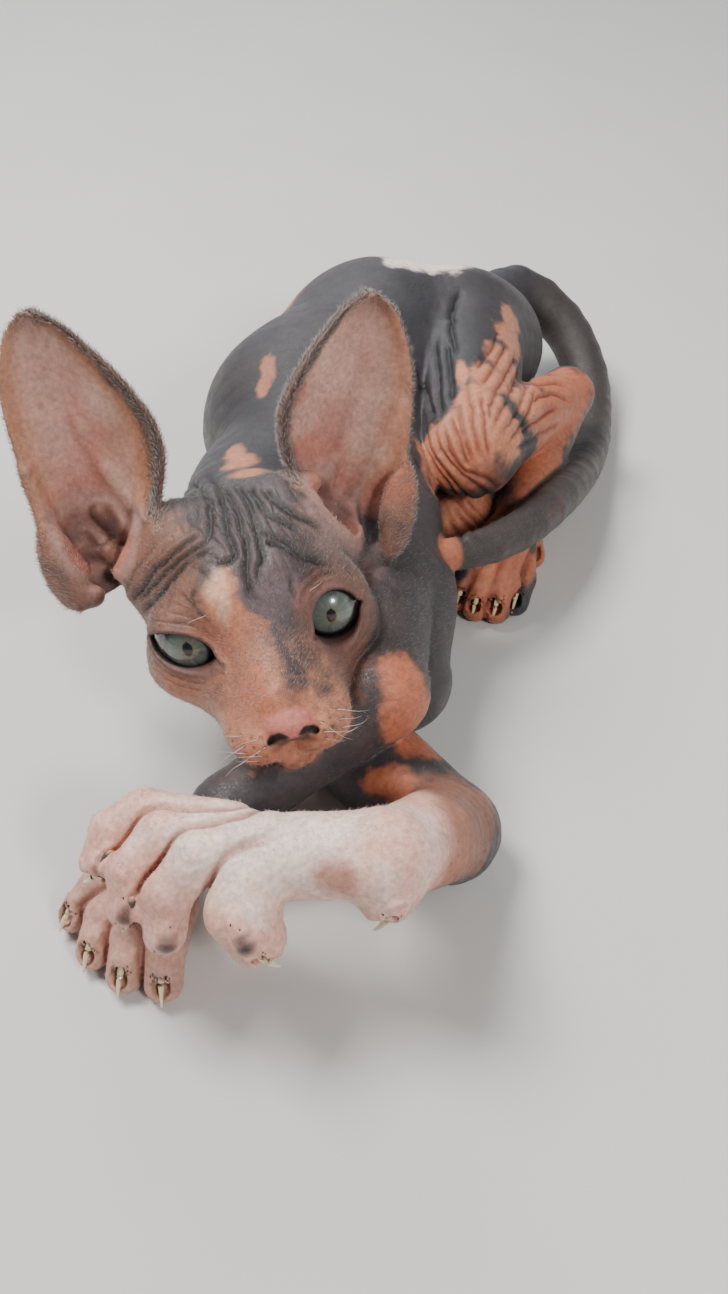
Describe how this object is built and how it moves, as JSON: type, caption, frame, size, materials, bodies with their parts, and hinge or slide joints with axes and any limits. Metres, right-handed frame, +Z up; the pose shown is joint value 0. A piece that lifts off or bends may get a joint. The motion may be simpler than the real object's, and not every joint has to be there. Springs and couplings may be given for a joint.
{
  "type": "hairless cat, curled",
  "caption": "Life-size still model of a hairless kitten lying curled on its side, head raised, large ears up, forepaws crossed before the chin.",
  "frame": {"origin": "middle of the animal's box, on the floor it lies on", "axes": "+Z up; the face looks along -Y, the spine lies on the -X side and the legs on the +X side"},
  "size_m": [0.1608, 0.2615, 0.1045],
  "materials": {
    "skin_grey": "soft bare skin, slate grey",
    "skin_peach": "soft bare skin, peach",
    "skin_pink": "soft bare skin, pale pink",
    "eye": "clear, wet",
    "claw": "horn"
  },
  "bodies": {
    "root": {"eye_left": "eye", "eye_right": "eye", "head": "skin_peach", "torso": "skin_grey", "neck": "skin_grey", "foreleg_left_upper": "skin_grey", "ear_left": "skin_pink", "ear_right": "skin_pink", "foreleg_left_forearm": "skin_grey", "foreleg_left_paw": "skin_pink", "foreleg_right_upper": "skin_grey", "foreleg_right_forearm": "skin_peach", "foreleg_right_paw": "skin_pink", "hindleg_left_thigh": "skin_grey", "hindleg_left_shin": "skin_peach", "hindleg_left_foot": "skin_peach", "hindleg_right_thigh": "skin_grey", "hindleg_right_shin": "skin_peach", "hindleg_right_foot": "skin_peach", "tail_base": "skin_grey", "tail_middle": "skin_grey", "tail_tip": "skin_peach", "claw_foreleg_left_1": "claw", "claw_foreleg_left_2": "claw", "claw_foreleg_left_3": "claw", "claw_foreleg_left_4": "claw", "claw_foreleg_left_5": "claw", "claw_foreleg_right_1": "claw", "claw_foreleg_right_2": "claw", "claw_foreleg_right_3": "claw", "claw_foreleg_right_4": "claw", "claw_foreleg_right_5": "claw", "claw_hindleg_left_1": "claw", "claw_hindleg_left_2": "claw", "claw_hindleg_left_3": "claw", "claw_hindleg_left_4": "claw", "claw_hindleg_right_1": "claw", "claw_hindleg_right_2": "claw", "claw_hindleg_right_3": "claw", "claw_hindleg_right_4": "claw"}
  },
  "joints": []
}
